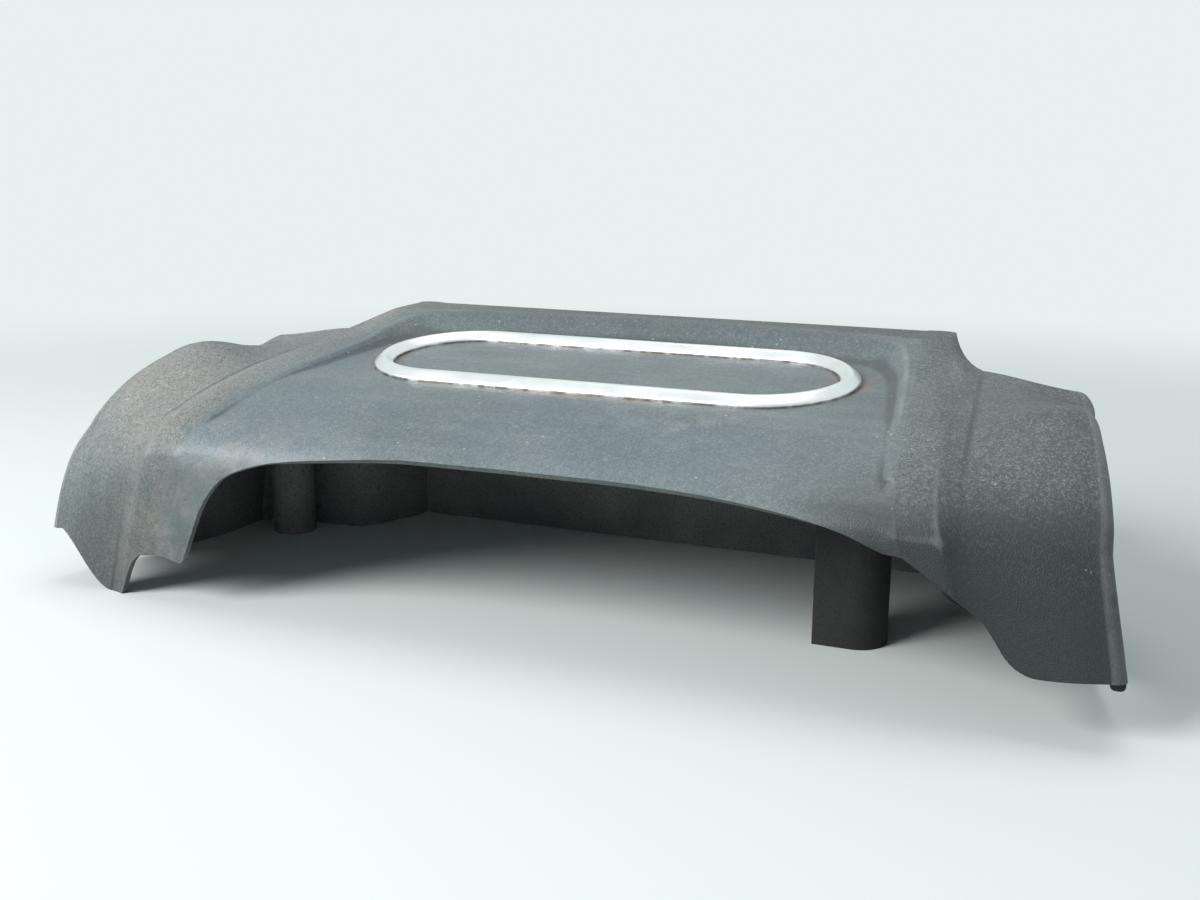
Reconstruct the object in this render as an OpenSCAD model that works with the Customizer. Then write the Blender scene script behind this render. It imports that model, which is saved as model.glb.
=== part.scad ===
// Front engine cover: one moulded shell with a sunk panel, a raised rim round it,
// two domed wings, an open arch at the front and towers that clip on ball studs.
// Millimetres. +X is the cover's own right as seen from the front, +Y the rear, +Z up.
// Origin: on the floor, below the middle of the cover's width and depth.
// The cover is drawn as it lies on a floor, so the panel falls towards the front.
// The lines below count y from the trim's middle line; placed() moves them to the origin.

/* [Overall] */
// Width over the two wings at their lower front corners
cover_w = 486; // [450:2:520]
// Depth from the front face of the rim to the rear edge
cover_d = 198; // [184:1:212]
// Height of the rear edge over the floor
cover_h = 121; // [112:1:130]
// Thickness of the moulded sheet
wall = 3; // [2.4:0.1:3.4]

/* [Raised panel] */
// Half width of the raised panel over the trim's middle line
panel_half = 158.5; // [152:0.5:162]
// How much the panel's side lines spread for each mm towards the front
panel_flare = 0.135; // [0.08:0.005:0.16]
// Width of the rim band between the sunk panel and the ridge
band_w = 15; // [12:0.5:18]
// Run of the slanted wall round the sunk panel
sunk_run = 6.5; // [5:0.5:8]
// How far the front of the sunk panel lies behind the rim
sunk_front = 3; // [2:0.25:3.5]
// Height of the sunk panel over the floor at the middle of the trim
sunk_z = 104.6; // [103:0.2:105.4]
// Fall of the sunk panel towards the front, in mm for each mm
sunk_fall = 0.114; // [0.08:0.002:0.14]
// How far the rear edge of the sunk panel bows forward at its ends
rear_bow = 15; // [6:1:22]
// Softness of the rear corners of the sunk panel, as a share of its wall
sunk_corner = 2; // [0.8:0.1:2.4]
// Forward bow of the front edge at the middle
front_bow = 3; // [0:0.5:6]

/* [Wings] */
// Half width of the cover at the rear of a wing
wing_half = 217; // [210:1:222]
// Radius from a wing's top into its side skirt
skirt_r = 6; // [5:0.5:8]
// Height of the side skirt's lower edge at the rear
skirt_rear_z = 62; // [50:1:75]
// Depth of the lip turned down along the rear edge
lip = 12; // [8:0.5:14]

/* [Towers] */
// Front tower's middle, from the middle plane
front_tower_x = 129; // [126:0.5:131]
// Front tower's middle, from the trim's middle line (towards the front is negative)
front_tower_y = -30; // [-34:1:-26]
// Width of the front tower
front_tower_w = 29.5; // [28:0.5:32]
// Rear towers' middle, from the middle plane
rear_tower_x = 193; // [191:0.5:195]
// Rear towers' middle behind the trim's middle line
rear_tower_y = 18; // [16:0.5:20]
// Outside diameter of a rear tower
rear_tower_d = 23; // [22:0.5:24]
// Wall of the towers
tower_wall = 2.6; // [2:0.1:2.8]
// Hole in a tower's end plate for the grommet's neck
grommet_hole_d = 12; // [11:0.5:12.5]
// Bore of the grommets for a ball stud
stud_bore_d = 8; // [7:0.5:9]

/* [Trim] */
// Gap between an end of the trim and the side wall of the sunk panel
trim_gap = 17; // [12:0.5:24]
// Width of the bright trim
trim_w = 88; // [80:1:90]
// Width of the trim's band
trim_band = 9.5; // [8:0.5:12]
// Height of the trim's crest over the panel
trim_h = 4.8; // [3.6:0.1:6]
// Diameter of the pins under the trim
pin_d = 4; // [3:0.2:5]

/* [Hidden] */
eps = 0.01;
// The lines below are written for the size as found and stretched to the size asked for
kx = cover_w / 486;
ky = cover_d / 198;
kz = cover_h / 121;
sunk_tilt = atan(sunk_fall * kz / ky);
sunk_top = sunk_z * kz;
end_plate = 3;
// From the middle of the cover's depth to the trim's middle line
trim_back = 17;
trim_y = trim_back * ky;
// Depth of the front tower, and from its middle to the middle of its round part
front_tower_d = 26;
stud_shift = (front_tower_w - front_tower_d) / 2;
// Plane inside the sheet of the wing that trims the rear towers: a point of it, its fall outwards
// and its rise to the rear
wing_plane = [193, 18, 102.5];
wing_fall = 0.194;
wing_climb = 0.034;
rear_top = wing_plane.z - wing_fall * (rear_tower_x - wing_plane.x)
    + wing_climb * (rear_tower_y - wing_plane.y);
// Length the rear towers are drawn to before that plane trims them
rear_reach = 130 * kz;
// Slots in the towers: width of the rear one, left edge and width of the front one
rear_slot_w = 12;
front_slot_x = -5;
front_slot_w = 14;
// Ribs under the panel
rib_x = 70;
rib_t = 2.4;
rib_h = 9;
rib_y0 = -46;
rib_y1 = 48;
// Length of the trim, from the width of the sunk panel at the trim's middle line
trim_l = 2 * ((panel_half - band_w - sunk_run) * kx - trim_gap);
// Pins of the trim, in the middle of its straight bands
pin_x = (trim_l - trim_w) / 2 - 18;
pin_y = (trim_w - trim_band) / 2;

// Rows of the shell where its lines change, for the panel, the ridge's foot and the wing's edge
panel_rows = [82, 72, 52, 13, -30, -70, -94];
foot_rows = [38, 30, 22, -5, -38, -72, -93];
edge_rows = [34, 22, 11, -9, -30, -55, -79];
// Side view of the ridge: height for each y, then y for each height on the front face
ridge_top = [[-108, 80], [-97, 87], [-76, 94], [-47, 101], [-17, 105.3], [13, 109.5],
    [30, 113.4], [45, 117.4], [61, 120.3], [82, 121.5]];
// Rise of the rim band's inner edge over the ridge at the rear corners
band_rise = [[-40, 0], [-7, 0.8], [11, 1.6], [25, 3], [40, 3], [60, 0.6], [82, 0]];
ridge_front = [[0, -112], [33, -115], [54, -116.3], [70, -115], [75, -112.6], [80, -108], [87, -97],
    [94, -76]];
// Side view of the foot of the ridge's outer wall
foot_top = [[-104, 78], [-93, 85], [-72, 92.2], [-38, 99.8], [-5, 104.5], [22, 108], [38, 110.4]];
foot_front = [[0, -109.8], [33, -112.4], [54, -113.2], [66, -111.8], [78, -104], [85, -93], [92.2, -72]];
// Side view of the wing's outer edge
edge_top = [[-90, 77], [-79, 87], [-65, 96], [-48, 102.8], [-30, 107.4], [-18, 107], [-9, 105],
    [2, 102.4], [11, 101], [20, 100.8], [34, 104.8]];
edge_front = [[0, -112], [25, -110.4], [41, -108.8], [57, -105], [66, -100.5], [77, -90], [87, -79],
    [96, -65]];
// Drop of the sunk panel below its plane towards the front, then y for each height
sunk_drop = [[-110, 16], [-104, 11.6], [-94, 7.2], [-72, 2.2], [-50, 0], [90, 0]];
sunk_face = [[0, -113], [20, -114.3], [45, -115.5], [64, -115.6], [72, -114.2], [77, -111.5], [81,
    -107.5], [86.7, -94]];
// Rise of the wing between its foot and its edge, for each row
wing_rise = [0, 0, 0, -0.4, 3, 2.4, 2];

// Lower end of the shell on each side, as [share of the way across, height]
panel_end_left = [[0, 79.6], [0.3, 79], [0.48, 76.6], [0.62, 74.2], [0.72, 71.6], [0.8, 67.5], [0.85, 63],
    [0.885, 56], [0.911, 46], [0.925, 32], [0.94, 20], [0.97, 21], [1, 22]];
panel_end_right = [[0, 79.6], [0.3, 79.6], [0.54, 78.4], [0.76, 75.2], [0.9, 70.8], [1, 64.5]];
band_end_left = [[0, 22], [0.5, 21], [0.75, 17.5], [0.9, 10], [1, 0]];
band_end_right = [[0, 64], [0.5, 58.5], [1, 51.5]];
wing_end_left = [[0, 0], [0.06, 0.5], [0.84, 26], [0.92, 27.5], [1, 27]];
wing_end_right = [[0, 42.5], [0.06, 36], [0.11, 30.5], [0.18, 27], [0.28, 25], [0.36, 24.5], [1, 26]];

// Shares across each strip where the shell has lines of points
panel_steps = [0.16, 0.32, 0.48, 0.62, 0.72, 0.8, 0.85, 0.885, 0.911, 0.925, 0.94, 0.97, 1];
sunk_steps = [0.5, 1];
band_steps = [0.5, 0.8, 1];
shoulder_steps = [0.3, 0.65, 1];
wing_steps = [0.06, 0.11, 0.18, 0.28, 0.4, 0.54, 0.68, 0.8, 0.9, 1];
skirt_steps = [30, 60, 90, 120, 150];
half_steps = concat([for (f = panel_steps) [0, f]], [for (f = sunk_steps) [1, f]],
    [for (f = band_steps) [2, f]],
    [for (f = shoulder_steps) [3, f]], [for (f = wing_steps) [4, f]], [for (f = skirt_steps) [5, f]]);
half_n = len(half_steps);
columns = concat([for (i = [half_n - 1:-1:0]) [-1, half_steps[i][0], half_steps[i][1]]], [[1, 0, 0]],
    [for (i = [0:half_n - 1]) [1, half_steps[i][0], half_steps[i][1]]]);
// Rows as [span, share of the span]; span 6 is the front face down to the lower end
rows = [[-1, 0], [0, 0], [0, 0.5], [1, 0], [1, 0.33], [1, 0.67], [2, 0], [2, 0.33], [2, 0.67], [3, 0],
    [3, 0.5],
    [4, 0], [4, 0.33], [4, 0.67], [5, 0], [5, 0.5], [6, 0], [6, 0.12],
    [6, 0.24], [6, 0.36], [6, 0.5], [6, 0.66], [6, 0.83], [6, 1]];

// Small helpers
function mix(a, b, t) = a + (b - a) * t;
function hold(t) = max(0, min(1, t));
// Share of the way down the front face, finer where it bends
function down(t) = t * (0.45 + 0.55 * t);
function ease(t) = t * t * (3 - 2 * t);
function unit(v) = v / max(norm(v), 0.000001);
function rise(p, i) = (p[i + 1][1] - p[i][1]) / (p[i + 1][0] - p[i][0]);
function lean(p, i) = i == 0 ? rise(p, 0) : i == len(p) - 1 ? rise(p, i - 1)
    : rise(p, i - 1) * rise(p, i) <= 0 ? 0
    : 2 * rise(p, i - 1) * rise(p, i) / (rise(p, i - 1) + rise(p, i));
function span(p, q, i = 0) = i >= len(p) - 2 || q < p[i + 1][0] ? i : span(p, q, i + 1);
// Smooth curve through the points [q, value] that never swings past them
function curve(p, q) =
    let (i = span(p, q), h = p[i + 1][0] - p[i][0], t = hold((q - p[i][0]) / h), u = 1 - t)
    (1 + 2 * t) * u * u * p[i][1] + t * u * u * h * lean(p, i)
    + t * t * (3 - 2 * t) * p[i + 1][1] - t * t * u * h * lean(p, i + 1);

// Plan lines
function ridge_x(y, z) = panel_half - panel_flare * max(y, -97) + 0.31 * max(0, 87 - z);
function crease_x(y, z) = ridge_x(y, z) - band_w;
function panel_x(y, z) = crease_x(y, z) - sunk_run;
function foot_x(y, z) = ridge_x(y, z) + 8.5 + 0.04 * max(0, y + 95);
function edge_x(y, z) = wing_half + 0.2 * max(0, -8 - max(y, -88)) + 0.2 * max(0, 75 - z);
function plane_z(y) = sunk_z + sunk_fall * y;
function sunk_at(y) = plane_z(y) - curve(sunk_drop, y);

// y of a line in a given span
function row_y(list, s, t) = mix(list[s], list[s + 1], t);

// Panel, its wall and the rim band over the top
function band_z(y) = curve(ridge_top, y) + curve(band_rise, y);
// Depth into the sunk panel, as a share of its wall, with the corner rounded off
function sunk_share(kind, f, s, t) =
    let (side = kind == 0 ? 1 + (1 - f) * panel_x(0, 99) / sunk_run : 1 - f, rear = s == 0 ? t - 1
        : s - 1 + t)
    kind == 2 ? 0 : ease(hold(0.6 * (side + rear - norm([side - rear, sunk_corner]))));
function top_panel(kind, f, s, t) =
    let (y0 = row_y(panel_rows, s, t), out = kind == 0 ? f * f : kind == 1 ? 1 : 1 - f,
        y = y0 - rear_bow * out * (s == 0 ? t : hold((y0 - 8) / 44)), share = sunk_share(kind, f, s, t))
    kind == 0 ? [f * panel_x(y, 99), y, mix(band_z(y), sunk_at(y), share)]
    : kind == 1 ? [mix(panel_x(y, 99), crease_x(y, 99), f), y, mix(band_z(y), sunk_at(y), share)]
    : [mix(crease_x(y, 99), ridge_x(y, 99), f), y, mix(band_z(y), curve(ridge_top, y), f)
        + 1.6 * f * (1 - f)];

// The same on the front face, down to the lower end
function front_panel(kind, f, t, low) =
    let (z0 = kind == 0 ? sunk_at(panel_rows[6]) : curve(ridge_top, panel_rows[6]), z = mix(z0, low,
        down(t)),
        rim = curve(ridge_front, z), face = curve(sunk_face, z) + sunk_front - 3)
    kind == 0 ? [f * panel_x(-100, z), face - front_bow * (1 - f * f) * hold((92 - z) / 8), z]
    : kind == 1 ? [mix(panel_x(-100, z), crease_x(-100, z), f), mix(face, rim, ease(f)), z]
    : [mix(crease_x(-100, z), ridge_x(-100, z), f), rim - 1.2 * f * (1 - f), z];

// Points on the ridge, on the foot of its outer wall and on the wing's edge
function ridge_pt(s, t, low) = s < 6 ? top_panel(2, 1, s, t) : front_panel(2, 1, t, low);
function foot_pt(s, t, low) =
    let (y = s < 6 ? row_y(foot_rows, s, t) : 0, z6 = curve(foot_top, foot_rows[6]), z = s < 6 ? 0
        : mix(z6, low, down(t)))
    s < 6 ? [foot_x(y, 99), y, curve(foot_top, y)] : [foot_x(-95, z), curve(foot_front, z), z];
function edge_pt(s, t, low) =
    let (y = s < 6 ? row_y(edge_rows, s, t) : 0, z6 = curve(edge_top, edge_rows[6]), z = s < 6 ? 0
        : mix(z6, low, down(t)))
    s < 6 ? [edge_x(y, curve(edge_top, y)) - skirt_r - (s == 0 ? 3 * (1 - t) * (1 - t) : 0), y,
        curve(edge_top, y)]
    : [edge_x(curve(edge_front, z), z) - skirt_r, curve(edge_front, z), z];

// Shoulder between the ridge and its foot, hollow as the photo shows
function shoulder_pt(f, s, t, low) =
    let (a = ridge_pt(s, t, low), b = foot_pt(s, t, low), g = 1 - (1 - f) * (1 - f))
    s < 6 ? [mix(a.x, b.x, f), mix(a.y, b.y, g), mix(a.z, b.z, mix(f, g, 0.4))]
    : [mix(a.x, b.x, f), mix(a.y, b.y, mix(f, g, 0.4)), mix(a.z, b.z, f)];
function wing_pt(f, s, t, low) =
    let (a = foot_pt(s, t, low), b = edge_pt(s, t, low), r = s < 6 ? mix(wing_rise[s], wing_rise[s
        + 1], t) : 2,
        e = ease(f), up = r * 4 * f * f * (1 - f) * 1.6, g = s < 6 ? 1 : 1 - hold(t * 2))
    [mix(a.x, b.x, f), mix(a.y, b.y, f) - up * (1 - g) * 0.6, mix(a.z, b.z, mix(f, e, 0.5 * g)) + up * g];

// Rounding into the side skirt and the skirt itself
function skirt_low(s, y, z) =
    let (q = s < 0 ? 0 : hold((36 - y + max(0, 99 - z)) / 216), yb = mix(28, -99, q))
    [edge_x(yb, 60) + 3 + 3 * q * q, yb, mix(skirt_rear_z, 25, q)];
function skirt_pt(f, s, t, low) =
    let (e = edge_pt(s, t, low), d = 0.02, u = t + d > 1 ? t - d : t + d, v = edge_pt(s, u, low),
        g = (t + d > 1 ? -1 : 1) * unit([0, v.y - e.y, v.z - e.z]), n = [0, -g.z, g.y],
        th = min(f, 90), p = e + [skirt_r * sin(th), 0, 0] + skirt_r * (1 - cos(th)) * n)
    f <= 90 ? p : mix(p, skirt_low(s, e.y, e.z), (f - 90) / 60);

// Lower end of each line of points
function low_end(side, kind, f) =
    kind == 0 ? curve(side < 0 ? panel_end_left : panel_end_right, f)
    : kind == 1 ? mix(low_end(side, 0, 1), low_end(side, 2, 0), f)
    : kind == 2 ? curve(side < 0 ? band_end_left : band_end_right, f)
    : kind == 3 ? mix(low_end(side, 2, 1), low_end(side, 4, 0), f)
    : kind == 4 ? curve(side < 0 ? wing_end_left : wing_end_right, f) : low_end(side, 4, 1);
function plain_pt(kind, f, s, t, low) =
    kind < 3 ? (s < 6 ? top_panel(kind, f, s, t) : front_panel(kind, f, t, low))
    : kind == 3 ? shoulder_pt(f, s, t, low) : kind == 4 ? wing_pt(f, s, t, low) : skirt_pt(f, s, t, low);
// Lip turned down along the rear edge, shorter where the side skirt takes over
function lip_pt(kind, f) =
    let (p = plain_pt(kind, f, 0, 0, 0), l = kind < 4 ? lip : kind == 4 ? mix(lip, 4,
        hold((f - 0.5) / 0.5)) : 4,
        th = kind == 5 ? min(f, 90) : 0)
    p + [-l * sin(th), 0.6, -l * cos(th)];
function shell_pt(c, r) =
    let (p = r[0] < 0 ? lip_pt(c[1], c[2]) : plain_pt(c[1], c[2], r[0], r[1], low_end(c[0], c[1], c[2])))
    [c[0] * p.x * kx, p.y * ky, p.z * kz];

// Outer points, their normals and the points one wall below them
nc = len(columns);
nr = len(rows);
outer = [for (r = rows) [for (c = columns) shell_pt(c, r)]];
function across(i, j) = outer[i][min(j + 1, nc - 1)] - outer[i][max(j - 1, 0)];
function along(i, j) = outer[min(i + 1, nr - 1)][j] - outer[max(i - 1, 0)][j];
inner = [for (i = [0:nr - 1]) [for (j = [0:nc - 1]) outer[i][j] + wall * unit(cross(across(i, j),
    along(i, j)))]];
points = concat([for (r = outer) each r], [for (r = inner) each r]);
function at(i, j, k) = k * nr * nc + i * nc + j;
faces = concat(
    [for (i = [0:nr - 2], j = [0:nc - 2]) each [[at(i, j, 0), at(i + 1, j + 1, 0), at(i + 1, j, 0)],
        [at(i, j, 0), at(i, j + 1, 0), at(i + 1, j + 1, 0)]]],
    [for (i = [0:nr - 2], j = [0:nc - 2]) each [[at(i, j, 1), at(i + 1, j, 1), at(i + 1, j + 1, 1)],
        [at(i, j, 1), at(i + 1, j + 1, 1), at(i, j + 1, 1)]]],
    [for (j = [0:nc - 2]) each [[at(0, j, 0), at(0, j + 1, 1), at(0, j + 1, 0)],
        [at(0, j, 0), at(0, j, 1), at(0, j + 1, 1)],
        [at(nr - 1, j, 0), at(nr - 1, j + 1, 1), at(nr - 1, j, 1)],
        [at(nr - 1, j, 0), at(nr - 1, j + 1, 0), at(nr - 1, j + 1, 1)]]],
    [for (i = [0:nr - 2]) each [[at(i, 0, 0), at(i + 1, 0, 1), at(i, 0, 1)],
        [at(i, 0, 0), at(i + 1, 0, 0), at(i + 1, 0, 1)],
        [at(i, nc - 1, 0), at(i + 1, nc - 1, 1), at(i + 1, nc - 1, 0)],
        [at(i, nc - 1, 0), at(i, nc - 1, 1), at(i + 1, nc - 1, 1)]]]);

// Moves its children from the trim's middle line to the part's own origin
module placed() {
    translate([0, trim_y, 0]) children();
}

module sheet() {
    polyhedron(points = points, faces = faces, convexity = 8);
}

// Carries its children onto the plane of the sunk panel
module on_panel() {
    translate([0, 0, sunk_top]) rotate([sunk_tilt, 0, 0]) children();
}

// Half space above a sloping plane through the middle of the tower it trims
module above(z, rise_x, rise_y) {
    translate([0, 0, z]) rotate([atan(rise_y), -atan(rise_x), 0]) translate([-60, -60, 0]) cube([120,
        120, 60]);
}

// D shaped outline: straight on the left, round on the right
module d_outline(w, d, shrink = 0) {
    r = d / 2 - shrink;
    translate([w / 2 - d / 2, 0]) circle(r = r, $fn = 96);
    translate([shrink - w / 2, -r]) square([w - d / 2 - shrink, 2 * r]);
}

// Front tower: a D section, open at the back, with an end plate for its grommet
module front_tower() {
    d = front_tower_d;
    difference() {
        linear_extrude(sunk_top) d_outline(front_tower_w, d);
        translate([0, 0, end_plate]) linear_extrude(sunk_top) d_outline(front_tower_w, d, tower_wall);
        translate([front_slot_x, 0, end_plate]) cube([front_slot_w, d, sunk_top]);
        translate([stud_shift, 0, -eps]) cylinder(d = grommet_hole_d, h = end_plate + 2 * eps, $fn = 96);
        above(sunk_top + sunk_fall * kz * front_tower_y - wall * 0.55, 0, sunk_fall * kz / ky);
    }
}

// Rear tower: a tube with a slot towards the rear and the same end plate
module rear_tower() {
    difference() {
        cylinder(d = rear_tower_d, h = rear_reach, $fn = 96);
        translate([0, 0, end_plate]) cylinder(d = rear_tower_d - 2 * tower_wall, h = rear_reach, $fn = 96);
        translate([-rear_slot_w / 2, 0, end_plate]) cube([rear_slot_w, rear_tower_d, rear_reach]);
        translate([0, 0, -eps]) cylinder(d = grommet_hole_d, h = end_plate + 2 * eps, $fn = 96);
        above(rear_top * kz, -wing_fall * kz / kx, wing_climb * kz / ky);
    }
}

// Ribs under the sunk panel, their tops inside the sheet
module ribs() {
    on_panel() {
        for (x = [-rib_x, rib_x]) translate([x - rib_t / 2, rib_y0, -wall - rib_h]) cube([rib_t,
            rib_y1 - rib_y0, rib_h + wall / 2]);
        translate([-rib_x, -rib_t / 2, -wall - rib_h]) cube([2 * rib_x, rib_t, rib_h + wall / 2]);
    }
}

module cover_shell() {
    color("#3f4444") placed() difference() {
        union() {
            sheet();
            ribs();
            translate([front_tower_x * kx, front_tower_y * ky, 0]) front_tower();
            translate([rear_tower_x * kx, rear_tower_y * ky, 0]) rear_tower();
            mirror([1, 0, 0]) translate([rear_tower_x * kx, rear_tower_y * ky, 0]) rear_tower();
        }
        on_panel() pins(pin_d + 0.4, 2 * wall);
    }
}

// Four pins, or the holes for them, down from the panel's plane
module pins(d, h) {
    for (x = [-pin_x, pin_x], y = [-pin_y, pin_y])
        translate([x, y, -h]) cylinder(d = d, h = h + 0.5, $fn = 48);
}

// Roof shaped section of the trim's band, its base on the panel
module trim_section() {
    polygon([[0, 0], [trim_band, 0], [trim_band, trim_h * 0.3], [trim_band * 0.58, trim_h],
        [trim_band * 0.36, trim_h],
        [0, trim_h * 0.3]]);
}

// Bright trim: a long rounded ring on the sunk panel
module badge_trim() {
    run = trim_l - trim_w;
    r = trim_w / 2 - trim_band;
    color("#c9cdd0") placed() on_panel() {
        for (s = [0, 180]) rotate([0, 0, s]) translate([run / 2, 0, 0]) rotate([0, 0, -90])
            rotate_extrude(angle = 180, $fn = 192) translate([r, 0]) trim_section();
        for (s = [0, 180]) rotate([0, 0, s]) translate([-run / 2, r, 0]) rotate([90, 0, 90])
            linear_extrude(run) trim_section();
        pins(pin_d, 2 * wall);
    }
}

// Rubber grommet: a neck through the end plate between two flanges, bored for a ball stud
module grommet() {
    neck = grommet_hole_d - 0.2;
    flange = grommet_hole_d + 4;
    difference() {
        union() {
            cylinder(d = neck, h = end_plate + 3, $fn = 96);
            translate([0, 0, end_plate]) cylinder(d = flange, h = 3, $fn = 96);
        }
        translate([0, 0, -eps]) cylinder(d = stud_bore_d, h = end_plate + 3 + 2 * eps, $fn = 96);
    }
}
module grommet_front() {
    color("#1c1c1c") placed() translate([front_tower_x * kx + stud_shift, front_tower_y * ky, 0]) grommet();
}
module grommet_rear_left() {
    color("#1c1c1c") placed() translate([-rear_tower_x * kx, rear_tower_y * ky, 0]) grommet();
}
module grommet_rear_right() {
    color("#1c1c1c") placed() translate([rear_tower_x * kx, rear_tower_y * ky, 0]) grommet();
}

cover_shell();
badge_trim();
grommet_front();
grommet_rear_left();
grommet_rear_right();
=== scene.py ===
import math
import bpy
import numpy as np
from mathutils import Matrix, Vector


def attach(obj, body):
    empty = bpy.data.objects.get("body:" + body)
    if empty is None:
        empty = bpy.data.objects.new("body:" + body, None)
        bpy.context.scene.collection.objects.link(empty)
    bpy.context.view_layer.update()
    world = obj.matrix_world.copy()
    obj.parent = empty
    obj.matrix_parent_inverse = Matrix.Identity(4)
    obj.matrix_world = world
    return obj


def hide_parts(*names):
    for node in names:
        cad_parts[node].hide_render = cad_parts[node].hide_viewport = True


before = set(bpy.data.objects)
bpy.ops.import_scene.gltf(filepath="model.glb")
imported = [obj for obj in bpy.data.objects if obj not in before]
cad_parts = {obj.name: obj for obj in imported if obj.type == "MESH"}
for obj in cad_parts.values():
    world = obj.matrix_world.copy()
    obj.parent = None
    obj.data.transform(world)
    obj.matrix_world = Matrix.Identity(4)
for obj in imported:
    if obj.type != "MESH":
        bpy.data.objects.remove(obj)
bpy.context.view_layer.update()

MM = 0.001

# Measures of the cover in mm: X from the middle, Y from the trim's middle line, Z from the floor
TRIM_Y = 17.0
WALL = 3.0
PANEL_HALF, PANEL_FLARE, BAND_W = 158.5, 0.135, 15.0
SUNK_RUN, SUNK_Z, SUNK_FALL = 6.5, 104.6, 0.114
SUNK_CORNER, SUNK_SOFT = 2.0, 0.6
REAR_BOW, REAR_BOW_FROM, REAR_BOW_RUN = 15.0, 8.0, 44.0
FRONT_BOW, FRONT_BOW_TOP, FRONT_BOW_RUN = 3.0, 92.0, 8.0
BAND_BULGE, BAND_FRONT_BULGE = 1.6, 1.2
RIDGE_FRONT_Y, RIDGE_LOW_Z, RIDGE_SPLAY = -97.0, 87.0, 0.31
FOOT_W, FOOT_FRONT_Y, FOOT_FLARE = 8.5, -95.0, 0.04
WING_HALF, EDGE_SPLAY, EDGE_LOW_Z = 217.0, 0.2, 75.0
EDGE_REAR_Y, EDGE_FRONT_Y, EDGE_REAR_IN = -8.0, -88.0, 3.0
SKIRT_R, SKIRT_OUT, SKIRT_AT_Z = 6.0, 3.0, 60.0
SKIRT_FROM_Y, SKIRT_TRAVEL = 36.0, 216.0
SKIRT_REAR_Y, SKIRT_FRONT_Y = 28.0, -99.0
SKIRT_REAR_Z, SKIRT_FRONT_Z = 0.5, 25.0
SKIRT_CLIMB_FROM = 0.4
REAR_LOW, REAR_STEP, REAR_LEAN = 0.5, 2.5, 0.6
REAR_END_IN, REAR_END_BEHIND = 1.5, 0.3
TRIM_L, TRIM_W, TRIM_BAND, TRIM_H = 240.0, 88.0, 9.5, 4.8
# The skirt's steps in degrees: its edge is a quarter round, and its foot counts as a further 60
ROUND_END, SKIRT_END = 90, 150
# From this Y forwards and from this height upwards the lines of the plan spread no further
FRONT_Y, HIGH_Z = -100.0, 99.0

# Y of the row spans' ends, from the rear to the front edge, on the panel, at the ridge's foot and at the edge
PANEL_ROWS = [82, 72, 52, 13, -30, -70, -94]
FOOT_ROWS = [38, 30, 22, -5, -38, -72, -93]
EDGE_ROWS = [34, 22, 11, -9, -30, -55, -79]
# Heights over Y, and for the front Y over heights
RIDGE_TOP = [(-108, 80), (-97, 87), (-76, 94), (-47, 101), (-17, 105.3), (13, 109.5), (30, 113.4),
             (45, 117.4), (61, 120.3), (82, 121.5)]
BAND_RISE = [(-40, 0), (-7, 0.8), (11, 1.6), (25, 3), (40, 3), (60, 0.6), (82, 0)]
RIDGE_FRONT = [(0, -112), (33, -115), (54, -116.3), (70, -115), (75, -112.6), (80, -108), (87, -97),
               (94, -76)]
FOOT_TOP = [(-104, 78), (-93, 85), (-72, 92.2), (-38, 99.8), (-5, 104.5), (22, 108), (38, 110.4)]
FOOT_FRONT = [(0, -109.8), (33, -112.4), (54, -113.2), (66, -111.8), (78, -104), (85, -93), (92.2, -72)]
EDGE_TOP = [(-90, 77), (-79, 87), (-65, 96), (-48, 102.8), (-30, 107.4), (-18, 107), (-9, 105),
            (2, 102.4), (11, 101), (20, 100.8), (34, 104.8)]
EDGE_FRONT = [(0, -112), (25, -110.4), (41, -108.8), (57, -105), (66, -100.5), (77, -90), (87, -79),
              (96, -65)]
SUNK_DROP = [(-110, 16), (-104, 11.6), (-94, 7.2), (-72, 2.2), (-50, 0), (90, 0)]
SUNK_FACE = [(0, -113), (20, -114.3), (45, -115.5), (64, -115.6), (72, -114.2), (77, -111.5), (81, -107.5),
             (86.7, -94)]
# Height of the wing's dome over the number of the row span
WING_RISE = [(0, 0), (1, 0), (2, 0), (3, -0.4), (4, 3), (5, 2.4), (6, 2)]
FRONT_WING_RISE = 2.0
WING_DOME, WING_FORWARD, WING_EASE, SHOULDER_ROUND = 6.4, 0.6, 0.5, 0.4

# Heights of the front's lower end by the share of each strip, for the left side (-1) and the right side (1)
PANEL_END = {-1: [(0, 79.6), (0.3, 79), (0.48, 76.6), (0.62, 74.2), (0.72, 71.6), (0.8, 67.5), (0.85, 63),
                  (0.885, 56), (0.911, 46), (0.925, 32), (0.94, 20), (0.97, 21), (1, 22)],
             1: [(0, 79.6), (0.3, 79.6), (0.54, 78.4), (0.76, 75.2), (0.9, 70.8), (1, 64.5)]}
BAND_END = {-1: [(0, 22), (0.5, 21), (0.75, 17.5), (0.9, 10), (1, 0)], 1: [(0, 64), (0.5, 58.5), (1, 51.5)]}
WING_END = {-1: [(0, 0), (0.06, 0.5), (0.84, 26), (0.92, 27.5), (1, 27)],
            1: [(0, 42.5), (0.06, 36), (0.11, 30.5), (0.18, 27), (0.28, 25), (0.36, 24.5), (1, 26)]}

# The shell's strips from the middle outwards, and the number of the row span that covers the front
PANEL, SLOPE, BAND, SHOULDER, WING, SKIRT = range(6)
FRONT = 6


# Small helpers
def mix(a, b, t):
    return a + (b - a) * t


def hold(t):
    return max(0.0, min(1.0, t))


def ease(t):
    return t * t * (3 - 2 * t)


def slow_start(t):
    return t * (0.45 + 0.55 * t)


def rise(p, i):
    return (p[i + 1][1] - p[i][1]) / (p[i + 1][0] - p[i][0])


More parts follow.
